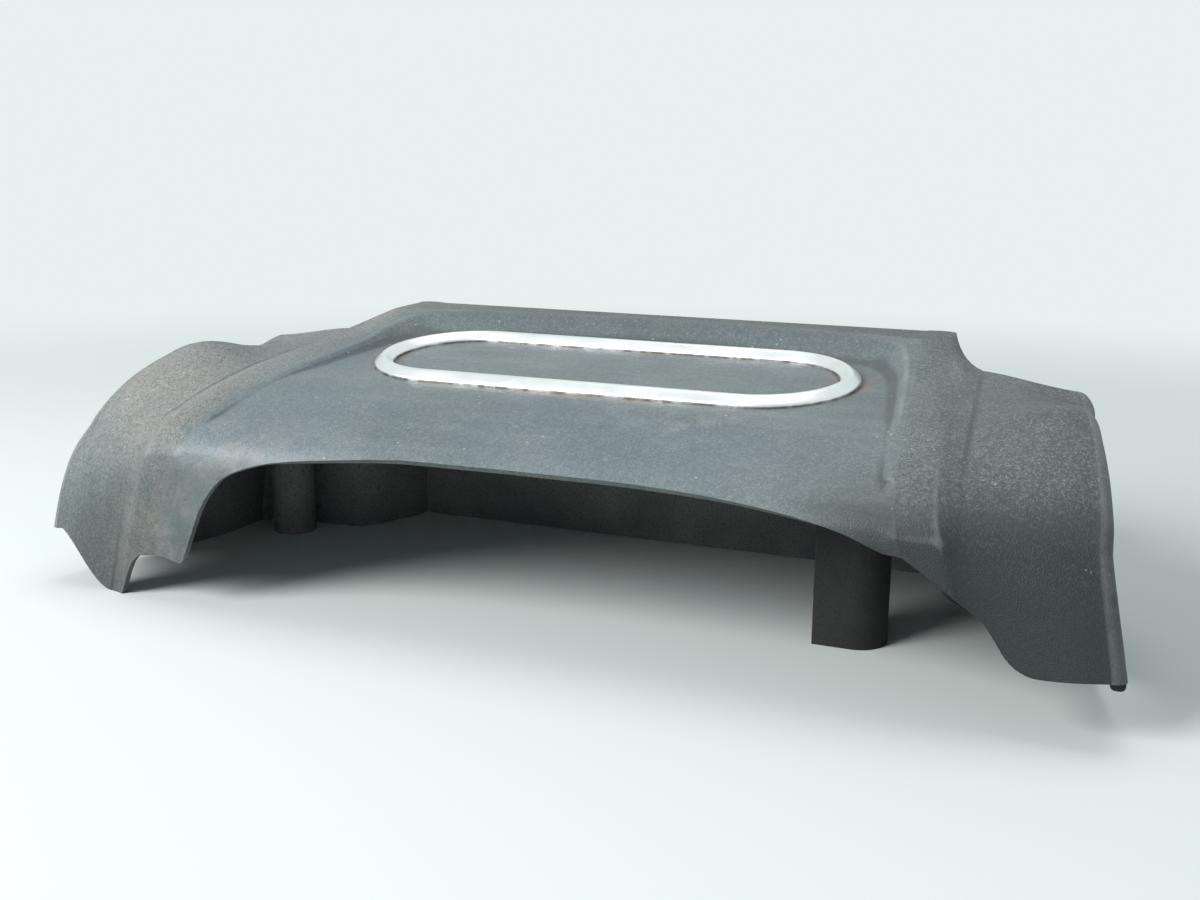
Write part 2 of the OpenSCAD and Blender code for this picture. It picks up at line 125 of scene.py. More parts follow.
def lean(p, i):
    if i == 0:
        return rise(p, 0)
    if i == len(p) - 1:
        return rise(p, i - 1)
    a, b = rise(p, i - 1), rise(p, i)
    return 0.0 if a * b <= 0 else 2 * a * b / (a + b)


def curve(p, q):
    """A smooth curve through the points p that never overshoots them."""
    i = 0
    while i < len(p) - 2 and q >= p[i + 1][0]:
        i += 1
    h = p[i + 1][0] - p[i][0]
    t = hold((q - p[i][0]) / h)
    u = 1 - t
    return ((1 + 2 * t) * u * u * p[i][1] + t * u * u * h * lean(p, i)
            + t * t * (3 - 2 * t) * p[i + 1][1] - t * t * u * h * lean(p, i + 1))


# Lines of the shell seen from above
def ridge_x(y, z):
    return PANEL_HALF - PANEL_FLARE * max(y, RIDGE_FRONT_Y) + RIDGE_SPLAY * max(0, RIDGE_LOW_Z - z)


def crease_x(y, z):
    return ridge_x(y, z) - BAND_W


def panel_x(y, z):
    return crease_x(y, z) - SUNK_RUN


def foot_x(y, z):
    return ridge_x(y, z) + FOOT_W + FOOT_FLARE * max(0, y - FOOT_FRONT_Y)


def edge_x(y, z):
    forward = max(0, EDGE_REAR_Y - max(y, EDGE_FRONT_Y))
    return WING_HALF + EDGE_SPLAY * forward + EDGE_SPLAY * max(0, EDGE_LOW_Z - z)


def sunk_at(y):
    return SUNK_Z + SUNK_FALL * y - curve(SUNK_DROP, y)


def row_y(places, s, t):
    return mix(places[s], places[s + 1], t)


def band_z(y):
    return curve(RIDGE_TOP, y) + curve(BAND_RISE, y)


# Points of each strip: f is the share across it, s the row span and t the share along that
def sunk_share(kind, f, s, t):
    if kind == BAND:
        return 0.0
    side = 1 + (1 - f) * panel_x(0, HIGH_Z) / SUNK_RUN if kind == PANEL else 1 - f
    rear = t - 1 if s == 0 else s - 1 + t
    return ease(hold(SUNK_SOFT * (side + rear - math.hypot(side - rear, SUNK_CORNER))))


def bow_share(kind, f):
    if kind == PANEL:
        return f * f
    return 1.0 if kind == SLOPE else 1 - f


def top_panel(kind, f, s, t):
    y0 = row_y(PANEL_ROWS, s, t)
    y = y0 - REAR_BOW * bow_share(kind, f) * (t if s == 0 else hold((y0 - REAR_BOW_FROM) / REAR_BOW_RUN))
    share = sunk_share(kind, f, s, t)
    if kind == PANEL:
        return (f * panel_x(y, HIGH_Z), y, mix(band_z(y), sunk_at(y), share))
    if kind == SLOPE:
        return (mix(panel_x(y, HIGH_Z), crease_x(y, HIGH_Z), f), y, mix(band_z(y), sunk_at(y), share))
    z = mix(band_z(y), curve(RIDGE_TOP, y), f) + BAND_BULGE * f * (1 - f)
    return (mix(crease_x(y, HIGH_Z), ridge_x(y, HIGH_Z), f), y, z)


def front_panel(kind, f, t, low):
    start_y = PANEL_ROWS[-1]
    up_the_slope = {PANEL: 0, SLOPE: ease(f), BAND: 1}[kind]
    z = mix(mix(sunk_at(start_y), curve(RIDGE_TOP, start_y), up_the_slope), low, slow_start(t))
    rim, face = curve(RIDGE_FRONT, z), curve(SUNK_FACE, z)
    if kind == PANEL:
        bow = FRONT_BOW * (1 - f * f) * hold((FRONT_BOW_TOP - z) / FRONT_BOW_RUN)
        return (f * panel_x(FRONT_Y, z), face - bow, z)
    if kind == SLOPE:
        return (mix(panel_x(FRONT_Y, z), crease_x(FRONT_Y, z), f), mix(face, rim, ease(f)), z)
    return (mix(crease_x(FRONT_Y, z), ridge_x(FRONT_Y, z), f), rim - BAND_FRONT_BULGE * f * (1 - f), z)


def foot_pt(s, t, low):
    if s < FRONT:
        y = row_y(FOOT_ROWS, s, t)
        return (foot_x(y, HIGH_Z), y, curve(FOOT_TOP, y))
    z = mix(curve(FOOT_TOP, FOOT_ROWS[-1]), low, slow_start(t))
    return (foot_x(FOOT_FRONT_Y, z), curve(FOOT_FRONT, z), z)


def edge_pt(s, t, low):
    if s < FRONT:
        y = row_y(EDGE_ROWS, s, t)
        z = curve(EDGE_TOP, y)
        rear_in = EDGE_REAR_IN * (1 - t) * (1 - t) if s == 0 else 0
        return (edge_x(y, z) - SKIRT_R - rear_in, y, z)
    z = mix(curve(EDGE_TOP, EDGE_ROWS[-1]), low, slow_start(t))
    y = curve(EDGE_FRONT, z)
    return (edge_x(y, z) - SKIRT_R, y, z)


def shoulder_pt(f, s, t, low):
    a = top_panel(BAND, 1, s, t) if s < FRONT else front_panel(BAND, 1, t, low)
    b = foot_pt(s, t, low)
    g = 1 - (1 - f) * (1 - f)
    if s < FRONT:
        return (mix(a[0], b[0], f), mix(a[1], b[1], g), mix(a[2], b[2], mix(f, g, SHOULDER_ROUND)))
    return (mix(a[0], b[0], f), mix(a[1], b[1], mix(f, g, SHOULDER_ROUND)), mix(a[2], b[2], f))


def wing_pt(f, s, t, low):
    a, b = foot_pt(s, t, low), edge_pt(s, t, low)
    dome = (curve(WING_RISE, s + t) if s < FRONT else FRONT_WING_RISE) * WING_DOME * f * f * (1 - f)
    upright = 1.0 if s < FRONT else 1 - hold(t * 2)
    y = mix(a[1], b[1], f) - dome * (1 - upright) * WING_FORWARD
    z = mix(a[2], b[2], mix(f, ease(f), WING_EASE * upright)) + dome * upright
    return (mix(a[0], b[0], f), y, z)


def skirt_pt(side, f, s, t, low):
    """The rounded edge for f up to ROUND_END, then the flat side that leans out to its foot."""
    edge = edge_pt(s, t, low)
    near_t = 0.02
    back = t + near_t > 1
    other = edge_pt(s, t - near_t if back else t + near_t, low)
    k = (-1 if back else 1) / max(math.hypot(other[1] - edge[1], other[2] - edge[2]), 1e-6)
    along = ((other[1] - edge[1]) * k, (other[2] - edge[2]) * k)
    turned = math.radians(min(f, ROUND_END))
    inset = SKIRT_R * (1 - math.cos(turned))
    p = (edge[0] + SKIRT_R * math.sin(turned), edge[1] - along[1] * inset, edge[2] + along[0] * inset)
    if f <= ROUND_END:
        return p
    q = hold((SKIRT_FROM_Y - edge[1] + max(0, HIGH_Z - edge[2])) / SKIRT_TRAVEL)
    foot_y = mix(SKIRT_REAR_Y, SKIRT_FRONT_Y, q)
    climb = q * q if side > 0 else hold((q - SKIRT_CLIMB_FROM) / (1 - SKIRT_CLIMB_FROM)) ** 2
    foot = (edge_x(foot_y, SKIRT_AT_Z) + SKIRT_OUT * (1 + q * q), foot_y,
            mix(SKIRT_REAR_Z, SKIRT_FRONT_Z, climb))
    share = (f - ROUND_END) / (SKIRT_END - ROUND_END)
    return tuple(mix(p[i], foot[i], share) for i in range(3))


def low_end(side, kind, f):
    """Height of the front's lower end."""
    if kind == PANEL:
        return curve(PANEL_END[side], f)
    if kind == SLOPE:
        return mix(curve(PANEL_END[side], 1), curve(BAND_END[side], 0), f)
    if kind == BAND:
        return curve(BAND_END[side], f)
    if kind == SHOULDER:
        return mix(curve(BAND_END[side], 1), curve(WING_END[side], 0), f)
    return curve(WING_END[side], f if kind == WING else 1)


def plain_pt(side, kind, f, s, t, low):
    if kind < SHOULDER:
        return top_panel(kind, f, s, t) if s < FRONT else front_panel(kind, f, t, low)
    if kind == SHOULDER:
        return shoulder_pt(f, s, t, low)
    return wing_pt(f, s, t, low) if kind == WING else skirt_pt(side, f, s, t, low)


def rear_pt(side, kind, f, t):
    """The rear wall; beyond the rounded edge only a run-on of the skirt, which gets no faces."""
    p = plain_pt(side, kind, f, 0, 0, 0)
    if kind == SKIRT and f > ROUND_END:
        return (p[0], p[1] + REAR_STEP + t, p[2])
    low = (p[0], p[1] + REAR_LEAN, REAR_LOW)
    if kind == SKIRT:
        wing, end = plain_pt(side, WING, 1, 0, 0, 0), plain_pt(side, SKIRT, SKIRT_END, 0, 0, 0)
        out = math.sin(math.radians(f))
        low = (mix(wing[0], end[0] - REAR_END_IN, out),
               mix(wing[1] + REAR_LEAN, end[1] - REAR_END_BEHIND, out), REAR_LOW)
    share = mix(min(REAR_STEP / (p[2] - REAR_LOW), 0.5), 1.0, t)
    return tuple(mix(p[i], low[i], share) for i in range(3))


# The sheet as a grid: columns from left to right, rows from the rear wall's foot to the front's lower end
def shares(n):
    return [i / n for i in range(1, n + 1)]


# Shares across each strip where columns stand; the skirt counts in degrees, as skirt_pt does
STRIP_STEPS = {
    PANEL: [0.1, 0.2, 0.3, 0.4, 0.5, 0.57, 0.64, 0.7, 0.74, 0.78, 0.81, 0.835, 0.855, 0.87, 0.885, 0.899,
            0.911, 0.92, 0.928, 0.936, 0.944, 0.955, 0.97, 0.985, 1.0],
    SLOPE: shares(6),
    BAND: shares(9),
    SHOULDER: shares(7),
    WING: [0.03, 0.06, 0.085, 0.11, 0.14, 0.18, 0.22, 0.27, 0.32, 0.38, 0.44, 0.5, 0.56, 0.62, 0.68, 0.74,
           0.8, 0.85, 0.9, 0.94, 0.97, 1.0],
    SKIRT: [12, 24, 36, 48, 60, 72, 82, ROUND_END, 100, 112, 125, 138, SKIRT_END]}
REAR_STEPS = [1.0, 0.985, 0.8, 0.6, 0.4, 0.2, 0.08, 0.0]
SPAN_STEPS = [5, 12, 14, 14, 14, 10, 44]
REAR = -1

half = [(kind, f) for kind in range(SKIRT + 1) for f in STRIP_STEPS[kind]]
columns = [(-1, kind, f) for kind, f in reversed(half)] + [(1, PANEL, 0.0)]
columns += [(1, kind, f) for kind, f in half]
rows = [(REAR, t) for t in REAR_STEPS]
rows += [(s, i / n) for s, n in enumerate(SPAN_STEPS) for i in range(n)] + [(FRONT, 1.0)]
wall_rows = len(REAR_STEPS)
wall_left, wall_right = [j for j, column in enumerate(columns) if column[1:] == (SKIRT, ROUND_END)]
GRAIN, SATIN, UNDER = 0, 1, 2
SHORTEST_STEP, SHORTEST_SPAN, SHARPEST_BEND = 0.3, 1.0, 12


def sheet_pt(column, row):
    side, kind, f = column
    if row[0] == REAR:
        p = rear_pt(side, kind, f, row[1])
    else:
        p = plain_pt(side, kind, f, row[0], row[1], low_end(side, kind, f))
    return (side * p[0], p[1] + TRIM_Y, p[2])


def beside(field):
    """Sum of the four neighbours of each inner point."""
    return field[:-2, 1:-1] + field[2:, 1:-1] + field[1:-1, :-2] + field[1:-1, 2:]


def sheet_outside():
    """The outer side. Mould edges are soft, so the inner points settle towards their neighbours."""
    grid = np.array([[sheet_pt(column, row) for column in columns] for row in rows])
    middle = grid.copy()
    middle[1:-1, 1:-1] = beside(grid) / 4
    settle = np.full(grid.shape[:2], 0.5)
    settle[:wall_rows + 1] = 0
    settle[-3:] = 0
    return grid + (middle - grid) * settle[:, :, None]


def sheet_inwards(grid):
    """Unit vectors into the wall. Under the wing's rounded edge the rear wall keeps its direction."""
    inwards = np.cross(np.gradient(grid, axis=1), np.gradient(grid, axis=0))
    inwards /= np.maximum(np.linalg.norm(inwards, axis=2, keepdims=True), 1e-9)
    arc = STRIP_STEPS[SKIRT].index(ROUND_END) + 1
    inwards[:wall_rows, wall_left:wall_left + arc] = inwards[:wall_rows, wall_left + arc, None]
    inwards[:wall_rows, wall_right - arc + 1:wall_right + 1] = inwards[:wall_rows, wall_right - arc, None]
    return inwards


def sheet_bend(grid, inwards):
    """How sharply the sheet bends, in degrees each mm: above 0 on ridges, below 0 in hollows."""
    bend = np.zeros(grid.shape[:2])
    for axis in (0, 1):
        way = np.diff(np.moveaxis(grid, axis, 0), axis=0)
        length = np.maximum(np.linalg.norm(way, axis=2), SHORTEST_STEP)
        way = way / length[:, :, None]
        change = np.einsum("ijk,ijk->ij", way[1:] - way[:-1], np.moveaxis(inwards, axis, 0)[1:-1])
        span = np.maximum((length[:-1] + length[1:]) / 2, SHORTEST_SPAN)
        change = np.degrees(change) / span
        np.moveaxis(bend, axis, 0)[1:-1] += np.clip(change, -SHARPEST_BEND, SHARPEST_BEND)
    bend[1:-1, 1:-1] = (bend[1:-1, 1:-1] * 2 + beside(bend)) / 6
    return bend


def sheet_faces():
    """Faces of both sides and the narrow ones between them, with the number of each one's material."""
    across, count = len(columns), len(rows) * len(columns)
    faces, zone, edges = [], [], set()
    for i in range(len(rows) - 1):
        for j in range(across - 1):
            if i < wall_rows and not wall_left <= j < wall_right:
                continue
            a = i * across + j
            b, c, d = a + 1, a + across + 1, a + across
            smooth = max(columns[j][1], columns[j + 1][1]) <= SLOPE and rows[i][0] >= 1
            faces += [(a, b, c, d), (a + count, d + count, c + count, b + count)]
            zone += [SATIN if smooth else GRAIN, UNDER]
            edges.update(((a, b), (b, c), (c, d), (d, a)))
    for a, b in sorted(edges):
        if (b, a) not in edges:
            faces.append((b, a, a + count, b + count))
            zone.append(GRAIN)
    return faces, zone


def make(name, points, faces, mats, zone=None, sharp=40.0):
    me = bpy.data.meshes.new(name)
    me.from_pydata([tuple(p) for p in points], [], [tuple(f) for f in faces])
    for m in mats:
        me.materials.append(m)
    me.polygons.foreach_set("use_smooth", [True] * len(me.polygons))
    if zone is not None:
        me.polygons.foreach_set("material_index", zone)
    me.update()
    me.validate()
    me.set_sharp_from_angle(angle=math.radians(sharp))
    ob = bpy.data.objects.new(name, me)
    bpy.context.scene.collection.objects.link(ob)
    return ob


def soften(ob, width, limit):
    """Rounds every edge that is sharper than the limit, in degrees."""
    m = ob.modifiers.new("soft_edges", "BEVEL")
    m.width = width
    m.segments = 2
    m.limit_method = "ANGLE"
    m.angle_limit = math.radians(limit)
    m.harden_normals = True


# Node helpers for the materials
class Nodes:
    def __init__(self, name):
        self.mat = bpy.data.materials.new(name)
        self.mat.use_nodes = True
        self.t = self.mat.node_tree
        self.bsdf = self.t.nodes["Principled BSDF"]
        self.pos = self.t.nodes.new("ShaderNodeTexCoord").outputs["Object"]

    def put(self, socket, value):
        if isinstance(value, bpy.types.NodeSocket):
            self.t.links.new(value, socket)
        else:
            socket.default_value = value

    def noise(self, scale, detail=4.0, rough=0.5, distortion=0.0, vec=None):
        n = self.t.nodes.new("ShaderNodeTexNoise")
        self.put(n.inputs["Vector"], vec or self.pos)
        n.inputs["Scale"].default_value = scale
        n.inputs["Detail"].default_value = detail
        n.inputs["Roughness"].default_value = rough
        n.inputs["Distortion"].default_value = distortion
        return n.outputs["Fac"]

    def cells(self, scale, out="Distance"):
        n = self.t.nodes.new("ShaderNodeTexVoronoi")
        self.put(n.inputs["Vector"], self.pos)
        n.inputs["Scale"].default_value = scale
        return n.outputs[out]

    def ramp(self, value, a, b, low=0.0, high=1.0):
        n = self.t.nodes.new("ShaderNodeMapRange")
        n.interpolation_type = "SMOOTHSTEP"
        self.put(n.inputs["Value"], value)
        n.inputs["From Min"].default_value = a
        n.inputs["From Max"].default_value = b
        n.inputs["To Min"].default_value = low
        n.inputs["To Max"].default_value = high
        return n.outputs["Result"]

    def math(self, op, a, b=0.0):
        n = self.t.nodes.new("ShaderNodeMath")
        n.operation = op
        self.put(n.inputs[0], a)
        self.put(n.inputs[1], b)
        return n.outputs[0]

    def times(self, a, b):
        return self.math("MULTIPLY", a, b)

    def less(self, a, b):
        return self.math("SUBTRACT", a, b)

    def most(self, parts):
        out = parts[0]
        for p in parts[1:]:
            out = self.math("MAXIMUM", out, p)
        return out

    def blend(self, a, b, fac):
        n = self.t.nodes.new("ShaderNodeMix")
        n.data_type = "RGBA"
        self.put(n.inputs["Factor"], fac)
        self.put(n.inputs["A"], a)
        self.put(n.inputs["B"], b)
        return n.outputs["Result"]

    def axis(self, name, source=None):
        n = self.t.nodes.new("ShaderNodeSeparateXYZ")
        self.put(n.inputs[0], source or self.pos)
        return n.outputs[name]

    def up(self):
        g = self.t.nodes.new("ShaderNodeNewGeometry")
        return self.axis("Z", g.outputs["Normal"])

    def bump(self, height, distance, normal=None):
        n = self.t.nodes.new("ShaderNodeBump")
        n.inputs["Distance"].default_value = distance
        n.inputs["Strength"].default_value = 1.0
        self.put(n.inputs["Height"], height)
        if normal is not None:
            self.put(n.inputs["Normal"], normal)
        return n.outputs["Normal"]

    def near(self, x, y, z, radius, soft=1.0):
        """1 at a place of the cover, in mm, falling to 0 at the radius."""
        d = self.t.nodes.new("ShaderNodeVectorMath")
        d.operation = "DISTANCE"
        self.put(d.inputs[0], self.pos)
        d.inputs[1].default_value = (x * MM, y * MM, z * MM)
        return self.ramp(d.outputs["Value"], radius * MM * (1 - soft), radius * MM, 1.0, 0.0)

    def spots(self, places):
        return self.most([self.near(*place) for place in places])

    def set(self, name, value):
        self.put(self.bsdf.inputs[name], value)


def rgb(r, g, b):
    return (r, g, b, 1.0)


def scaled(colour, k):
    return rgb(*[c * k for c in colour])


# The two surfaces of the moulding: coarse grain on rim, wings and skirts, smoother satin on the sunk panel.
# In each, cell is the scale of the grain, depth its bump in m, and gloss the specular level
GRAIN_LOOK = {"base": (0.112, 0.138, 0.140), "light": (0.152, 0.181, 0.181), "stretch": (1.0, 0.22, 0.22),
              "rough": 0.56, "gloss": 0.3, "cell": 1650, "depth": 0.00018, "dust": 0.26, "pale": 0.56,
              "dark": 0.46}
SATIN_LOOK = {"base": (0.109, 0.139, 0.148), "light": (0.144, 0.179, 0.187), "stretch": (0.16, 1.0, 1.0),
              "rough": 0.46, "gloss": 0.4, "cell": 1400, "depth": 0.00007, "dust": 0.22, "pale": 0.32,
              "dark": 0.24}
# The bluish tint is partly painted shade along the sunk panel's walls and front
BLUE_TINT, PALE_SCUFF = (0.106, 0.145, 0.182), (0.30, 0.315, 0.30)
LEFT_DUST, PALE_POWDER, PALE_DUST = (0.215, 0.222, 0.215), (0.34, 0.345, 0.33), (0.34, 0.35, 0.33)
BROWN, FLECK, SPECK = (0.31, 0.28, 0.25), (0.62, 0.64, 0.62), (0.62, 0.62, 0.58)
# Pale of rubbed ridges, partly painted highlight; the dark of hollows is painted shade
RUB_AND_HIGHLIGHT, CREASE_SHADE = (0.28, 0.30, 0.29), (0.035, 0.038, 0.038)
TAN_DIRT, BROWN_RIM, DARK_LINE = (0.215, 0.165, 0.132), (0.075, 0.046, 0.030), (0.018, 0.014, 0.012)

# Places of stains and of painted shade in the CAD frame: x, y, z, radius in mm and at one the share that
# fades
# Bluish tint spots, partly painted shade along the recess's walls and front bend
BLUISH_SHADE_SPOTS = [(-128, 2, 105, 62), (-110, -88, 88, 70), (-40, 80, 113, 60), (60, 82, 114, 62),
               (20, -70, 92, 75), (90, -62, 92, 52)]
SCUFFS = [(-105, 22, 106, 34), (118, 38, 109, 30), (60, -32, 98, 60, 0.9)]
BROWN_DIRT = [(-204, -60, 92, 48), (-180, -84, 82, 40), (-131, -98, 76, 42), (-168, -98, 30, 46),
              (-188, -96, 14, 30), (192, 50, 106, 34), (-150, 60, 112, 30)]
TRIM_DIRT = [(-120, 14, 104, 30), (121, 26, 108, 28), (10, -30, 99, 55)]
POWDER = (-197, -52, 96, 52)
# The left foot near the floor: a place of painted shade
LEFT_FOOT = (-190, -95, 8, 48)

# Where the zones of dust and painted shade begin and are complete, in m in the CAD frame
SHADE_ZONE_X, SHADE_ZONE_Z = (0.095, 0.155), (0.096, 0.067)
REAR_RIM_Y, REAR_RIM_Z = (0.05, 0.088), (0.1, 0.113)
LEFT_X, RIGHT_X = (-0.06, -0.13), (0.13, 0.2)


def moulded_tone(n, look):
    """Broad clouds and faint streaks that run down the slopes."""
    cloud = n.ramp(n.noise(11, 5, 0.62, 0.4), 0.36, 0.66)
    stretch = n.t.nodes.new("ShaderNodeMapping")
    stretch.inputs["Scale"].default_value = look["stretch"]
    n.put(stretch.inputs["Vector"], n.pos)
    streak = n.ramp(n.noise(95, 4, 0.6, 0.3, stretch.outputs[0]), 0.42, 0.68)
    colour = n.blend(rgb(*look["base"]), rgb(*look["light"]), cloud)
    return n.blend(colour, scaled(look["light"], 1.12), n.times(streak, 0.5))


def panel_bluish_shade_and_scuffs(n, colour):
    """Bluish tint along the sunk panel's walls and front, partly painted shade, and pale scuffs."""
    bluish_shade_mask = n.times(n.spots(BLUISH_SHADE_SPOTS), n.ramp(n.noise(26, 4, 0.6), 0.3, 0.62, 0.35, 1.0))
    colour = n.blend(colour, rgb(*BLUE_TINT), n.times(bluish_shade_mask, 0.75))
    scuff = n.times(n.spots(SCUFFS), n.ramp(n.noise(70, 6, 0.7), 0.46, 0.68))
    return n.blend(colour, rgb(*PALE_SCUFF), n.times(scuff, 0.45))


def painted_shade_and_rear_rim(n, colour, base, up, shade_zone):
    """Painted shade: steep faces and the low right side are darkened. The rear rim is darker too."""
    colour = n.blend(colour, scaled(base, 0.42), n.ramp(up, 0.42, -0.1, 0.0, 0.62))
    colour = n.blend(colour, scaled(base, 0.05), n.times(shade_zone, 0.94))
    rear = n.times(n.ramp(n.axis("Y"), *REAR_RIM_Y), n.ramp(n.axis("Z"), *REAR_RIM_Z))
    return n.blend(colour, scaled(base, 0.6), n.times(rear, 0.75))


def left_dust(n, colour, up):
    """The grained left side is dusty."""
    left = n.times(n.ramp(n.axis("X"), *LEFT_X), n.ramp(n.noise(15, 4), 0.3, 0.6, 0.55, 1.0))
    return n.blend(colour, rgb(*LEFT_DUST), n.times(left, n.ramp(up, 0.2, 0.8, 0.05, 0.5)))


def dirt_and_dust(n, colour, look, up):
    """Powder on the left wing, brown dirt in places and pale dust on all that faces up."""
    powder = n.times(n.near(*POWDER), n.ramp(n.noise(24, 5, 0.62), 0.3, 0.6, 0.4, 1.0))
    colour = n.blend(colour, rgb(*PALE_POWDER), n.times(powder, 0.4))
    brown = n.times(n.spots(BROWN_DIRT), n.ramp(n.noise(38, 6, 0.68), 0.36, 0.64))
    colour = n.blend(colour, rgb(*BROWN), n.times(brown, 0.5))
    dust = n.times(n.ramp(up, 0.35, 0.98), n.ramp(n.noise(17, 6, 0.66), 0.43, 0.7))
    dust = n.times(dust, n.ramp(n.noise(look["cell"] * 2.2, 2, 0.5), 0.3, 0.68, 0.5, 1.0))
    return n.blend(colour, rgb(*PALE_DUST), n.times(dust, look["dust"]))


def painted_shade_at_ends(n, colour, base):
    """Painted shade: the left foot near the floor and the right side are darker than the rest."""
    colour = n.blend(colour, scaled(base, 0.4), n.times(n.near(*LEFT_FOOT), 0.55))
    return n.blend(colour, scaled(base, 0.3), n.times(n.ramp(n.axis("X"), *RIGHT_X), 0.5))


def grain_flecks(n, colour, look, up, shade_zone):
    """Single cells of the grain are pale with dust or dark, by chance."""
    fleck = n.math("ADD", n.times(n.cells(look["cell"], "Color"), 0.6),
                   n.times(n.cells(look["cell"] * 0.6, "Color"), 0.4))
    lit = n.times(n.ramp(fleck, 0.5, 0.8), n.ramp(up, -0.1, 0.8, 0.35, 1.0))
    lit = n.times(lit, n.ramp(shade_zone, 0.0, 0.8, 1.0, 0.22))
    pale = n.blend(colour, rgb(*FLECK), 0.32)
    colour = n.blend(colour, pale, n.times(lit, look["pale"]))
    return n.blend(colour, scaled(look["base"], 0.3), n.times(n.ramp(fleck, 0.5, 0.18), look["dark"]))


def rub_highlight_and_crease_shade(n, colour, shade_zone):
    """Ridges are rubbed pale, partly as painted highlight, and hollows get painted shade."""
    ridge = n.t.nodes.new("ShaderNodeAttribute")
    ridge.attribute_name = "ridge"
    ridge = ridge.outputs["Fac"]
    rub_and_highlight = n.times(n.ramp(ridge, 3.6, 10.0), n.ramp(n.noise(60, 5, 0.65), 0.3, 0.6, 0.3, 1.0))
    rub_and_highlight = n.times(rub_and_highlight, n.ramp(shade_zone, 0.0, 0.7, 1.0, 0.7))
    colour = n.blend(colour, rgb(*RUB_AND_HIGHLIGHT), n.times(rub_and_highlight, 0.4))
    return n.blend(colour, rgb(*CREASE_SHADE), n.ramp(ridge, -1.2, -6.0, 0.0, 0.6))


def ring_dirt(n, reach):
    """1 on the panel beside the trim's band, falling to 0 at reach, in mm."""
    straight = (TRIM_L - TRIM_W) / 2 * MM
    dx = n.math("MAXIMUM", n.less(n.math("ABSOLUTE", n.axis("X")), straight), 0.0)
    dy = n.less(n.axis("Y"), TRIM_Y * MM)
    r = n.math("SQRT", n.math("ADD", n.times(dx, dx), n.times(dy, dy)))
    off = n.math("ABSOLUTE", n.less(r, (TRIM_W - TRIM_BAND) / 2 * MM))
    return n.ramp(off, (TRIM_BAND / 2 - 0.6) * MM, (TRIM_BAND / 2 + reach) * MM, 1.0, 0.0)


def trim_dirt(n, colour):
    """Tan and brown dirt round the trim, most of it at both ends and at the front, and a dark line."""
    patchy = n.ramp(n.noise(75, 5, 0.65), 0.36, 0.62, 0.2, 1.0)
    most_here = n.spots(TRIM_DIRT)
    tan = n.times(ring_dirt(n, 10.0), n.times(patchy, n.ramp(most_here, 0.0, 0.8, 0.15, 0.95)))
    colour = n.blend(colour, rgb(*TAN_DIRT), tan)
    brown = n.times(ring_dirt(n, 3.2), n.times(patchy, n.ramp(most_here, 0.0, 0.8, 0.5, 1.0)))
    colour = n.blend(colour, rgb(*BROWN_RIM), brown)
    return n.blend(colour, rgb(*DARK_LINE), n.times(ring_dirt(n, 0.4), 0.85))


def grit(n, colour, up):
    """Single pale specks of grit."""
    speck = n.times(n.ramp(n.cells(260), 0.09, 0.15, 1.0, 0.0), n.ramp(n.noise(75, 2), 0.57, 0.64))
    speck = n.times(speck, n.ramp(up, 0.35, 0.75))
    return n.blend(colour, rgb(*SPECK), n.times(speck, 0.6))


def plastic(name, look, satin):
    """The shell's moulded plastic, grained or, on the sunk panel, satin."""
    n = Nodes(name)
    up = n.up()
    # Painted shade on the low right side, which also dims the pale flecks and rubbed ridges there
    shade_zone = n.times(n.ramp(n.axis("X"), *SHADE_ZONE_X), n.ramp(n.axis("Z"), *SHADE_ZONE_Z))
    colour = moulded_tone(n, look)
    if satin:
        colour = panel_bluish_shade_and_scuffs(n, colour)
    colour = painted_shade_and_rear_rim(n, colour, look["base"], up, shade_zone)
    if not satin:
        colour = left_dust(n, colour, up)
    colour = dirt_and_dust(n, colour, look, up)
    colour = painted_shade_at_ends(n, colour, look["base"])
    colour = grain_flecks(n, colour, look, up, shade_zone)
    colour = rub_highlight_and_crease_shade(n, colour, shade_zone)
    if satin:
        colour = trim_dirt(n, colour)
    n.set("Base Color", grit(n, colour, up))
    n.set("Roughness", n.ramp(n.noise(34, 4), 0.3, 0.7, look["rough"] - 0.05, look["rough"] + 0.08))
    n.set("Specular IOR Level", look["gloss"])
    pits = n.times(n.cells(look["cell"]), -1.0)
    height = n.math("ADD", n.times(n.noise(look["cell"] * 0.8, 3, 0.6), 0.35), pits)
    n.set("Normal", n.bump(n.noise(55, 4, 0.55), 0.00008, n.bump(height, look["depth"])))
    return n.mat


def dark_underside(name, k):
    """Bare dark plastic with some rust; k makes the tone lighter."""
    n = Nodes(name)
    cloud = n.ramp(n.noise(14, 5, 0.6), 0.35, 0.68)
    colour = n.blend(scaled((0.022, 0.025, 0.025), k), scaled((0.036, 0.038, 0.037), k), cloud)
    rust = n.times(n.ramp(n.noise(48, 5, 0.7), 0.5, 0.7), 0.3)
    colour = n.blend(colour, scaled((0.042, 0.036, 0.031), k), rust)
    specks = n.times(n.ramp(n.noise(900, 2), 0.5, 0.3), 0.5)
    n.set("Base Color", n.blend(colour, rgb(0.012, 0.012, 0.012), specks))
    n.set("Roughness", n.ramp(n.noise(40, 4), 0.3, 0.7, 0.55, 0.72))
    n.set("Specular IOR Level", 0.2)
    n.set("Normal", n.bump(n.noise(700, 4, 0.6), 0.00014))
    return n.mat


